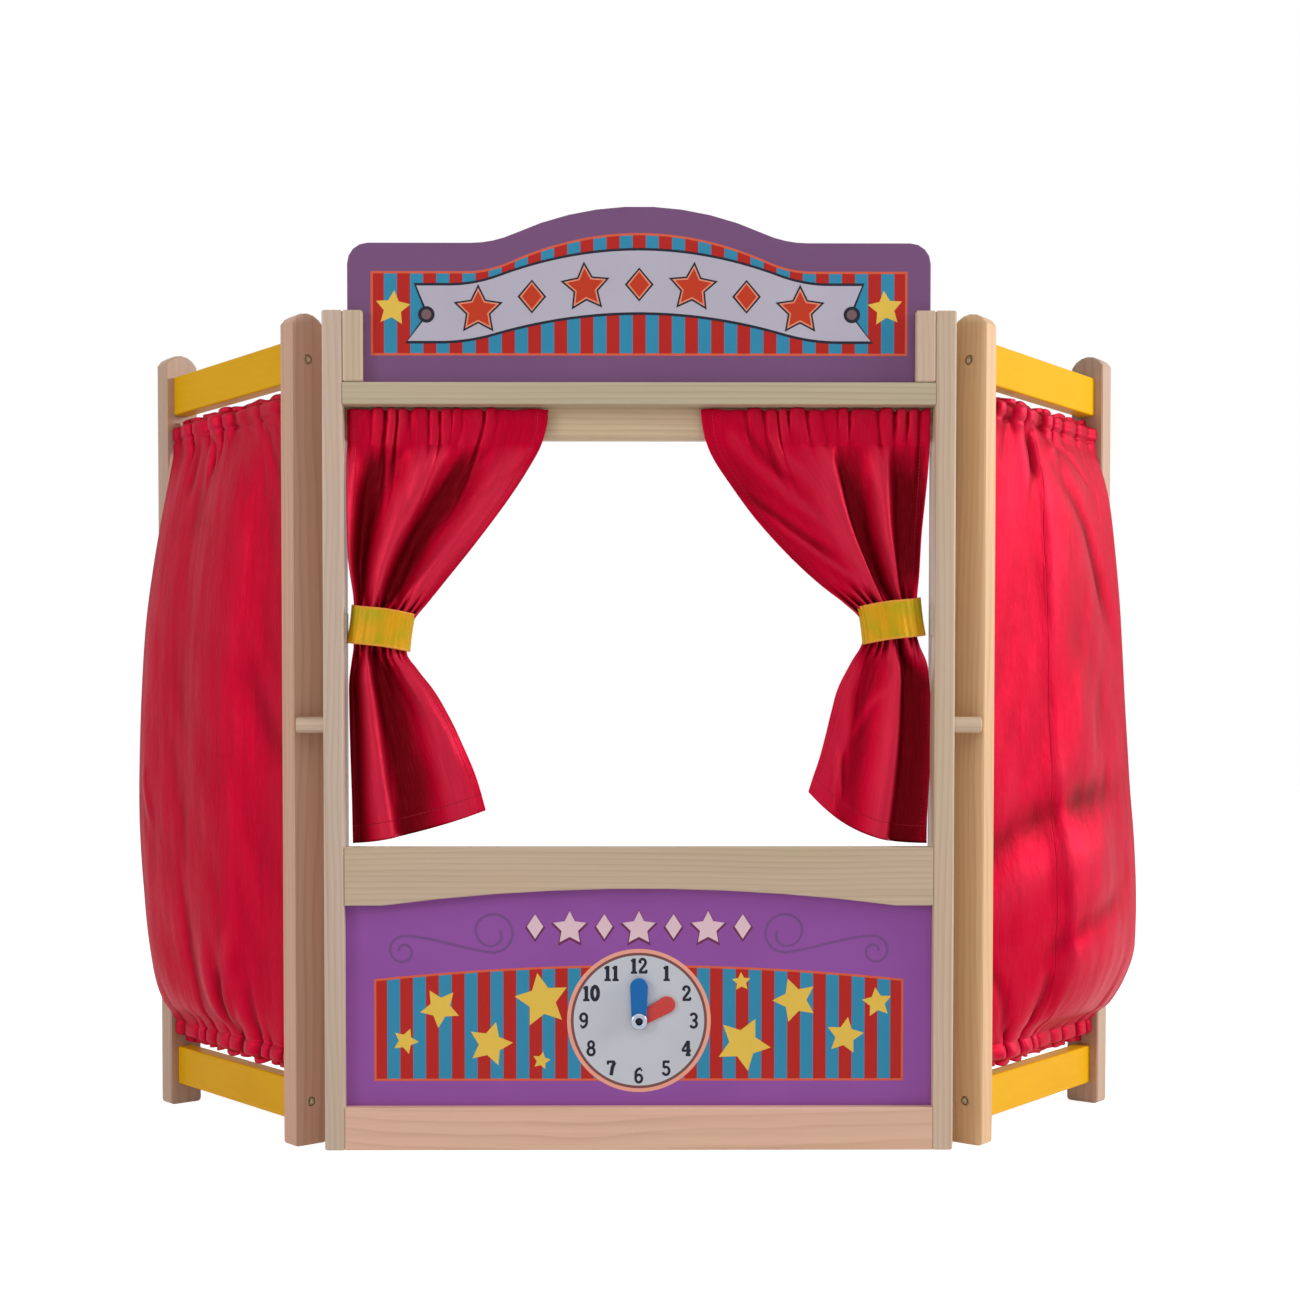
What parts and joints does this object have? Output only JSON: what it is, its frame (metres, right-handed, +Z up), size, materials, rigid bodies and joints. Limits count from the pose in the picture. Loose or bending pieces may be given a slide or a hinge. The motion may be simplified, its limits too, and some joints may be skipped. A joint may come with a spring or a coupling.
{
  "type": "table-top puppet theatre",
  "caption": "Wooden puppet theatre: framed stage opening with tied-back curtains, lift-in header board, play clock, and two curtained wings that fold flat behind it.",
  "frame": {"origin": "on the ground, midway between the left and right edges and between the front and back of the whole theatre with its wings in the pictured stance", "axes": "+X to the right as seen by the audience, -Y towards the audience, +Z up"},
  "size_m": [0.9008, 0.2122, 0.758],
  "materials": {
    "pine": "clear satin lacquer on pine",
    "purple_paint": "satin paint",
    "yellow_paint": "satin paint",
    "blue_paint": "satin paint",
    "red_paint": "satin paint",
    "red_satin": "satin weave",
    "yellow_satin": "satin ribbon",
    "hook_tape": "matte hook-and-loop tape",
    "steel": "zinc plated",
    "polished_steel": "polished"
  },
  "bodies": {
    "centre_frame": {"left_post": "pine", "right_post": "pine", "front_top_rail": "pine", "bottom_rail": "pine", "stage_rail": "pine", "back_top_rail": "pine", "left_front_cleat": "pine", "left_rear_cleat": "pine", "right_front_cleat": "pine", "right_rear_cleat": "pine", "lower_board": "purple_paint", "clock_pivot": "polished_steel", "clock_nut": "steel", "left_stop_peg": "pine", "right_stop_peg": "pine", "left_upper_hinge_frame_leaf": "steel", "left_upper_hinge_pin": "steel", "left_lower_hinge_frame_leaf": "steel", "left_lower_hinge_pin": "steel", "right_upper_hinge_frame_leaf": "steel", "right_upper_hinge_pin": "steel", "right_lower_hinge_frame_leaf": "steel", "right_lower_hinge_pin": "steel", "left_stage_curtain": "red_satin", "left_curtain_tape": "hook_tape", "left_tieback": "yellow_satin", "left_tieback_patch": "hook_tape", "right_stage_curtain": "red_satin", "right_curtain_tape": "hook_tape", "right_tieback": "yellow_satin", "right_tieback_patch": "hook_tape"},
    "header": {"header_board": "purple_paint"},
    "minute_hand": {"minute_hand": "blue_paint"},
    "hour_hand": {"hour_hand": "red_paint"},
    "left_wing": {"left_wing_front_stile": "pine", "left_wing_back_stile": "pine", "left_wing_top_rail": "yellow_paint", "left_wing_bottom_rail": "yellow_paint", "left_wing_top_front_bolt": "steel", "left_wing_top_back_bolt": "steel", "left_wing_bottom_front_bolt": "steel", "left_wing_bottom_back_bolt": "steel", "left_wing_top_rod": "pine", "left_wing_bottom_rod": "pine", "left_wing_curtain": "red_satin", "left_upper_hinge_wing_leaf": "steel", "left_lower_hinge_wing_leaf": "steel"},
    "right_wing": {"right_wing_front_stile": "pine", "right_wing_back_stile": "pine", "right_wing_top_rail": "yellow_paint", "right_wing_bottom_rail": "yellow_paint", "right_wing_top_front_bolt": "steel", "right_wing_top_back_bolt": "steel", "right_wing_bottom_front_bolt": "steel", "right_wing_bottom_back_bolt": "steel", "right_wing_top_rod": "pine", "right_wing_bottom_rod": "pine", "right_wing_curtain": "red_satin", "right_upper_hinge_wing_leaf": "steel", "right_lower_hinge_wing_leaf": "steel"}
  },
  "joints": [
    {"name": "header_lift", "type": "slide", "parent": "centre_frame", "child": "header", "axis": [0, 0, 1], "range_m": [0, 0.057]},
    {"name": "minute_hand_turn", "type": "hinge", "parent": "centre_frame", "child": "minute_hand", "pos_m": [0, -0.101, 0.104], "axis": [0, 1, 0], "continuous": true},
    {"name": "hour_hand_turn", "type": "hinge", "parent": "centre_frame", "child": "hour_hand", "pos_m": [0, -0.0985, 0.104], "axis": [0, 1, 0], "continuous": true},
    {"name": "left_wing_hinge", "type": "hinge", "parent": "centre_frame", "child": "left_wing", "pos_m": [-0.254, -0.07356, 0.337], "axis": [0, 0, -1], "range_deg": [0, 130]},
    {"name": "right_wing_hinge", "type": "hinge", "parent": "centre_frame", "child": "right_wing", "pos_m": [0.254, -0.07356, 0.337], "axis": [0, 0, 1], "range_deg": [0, 130]}
  ]
}
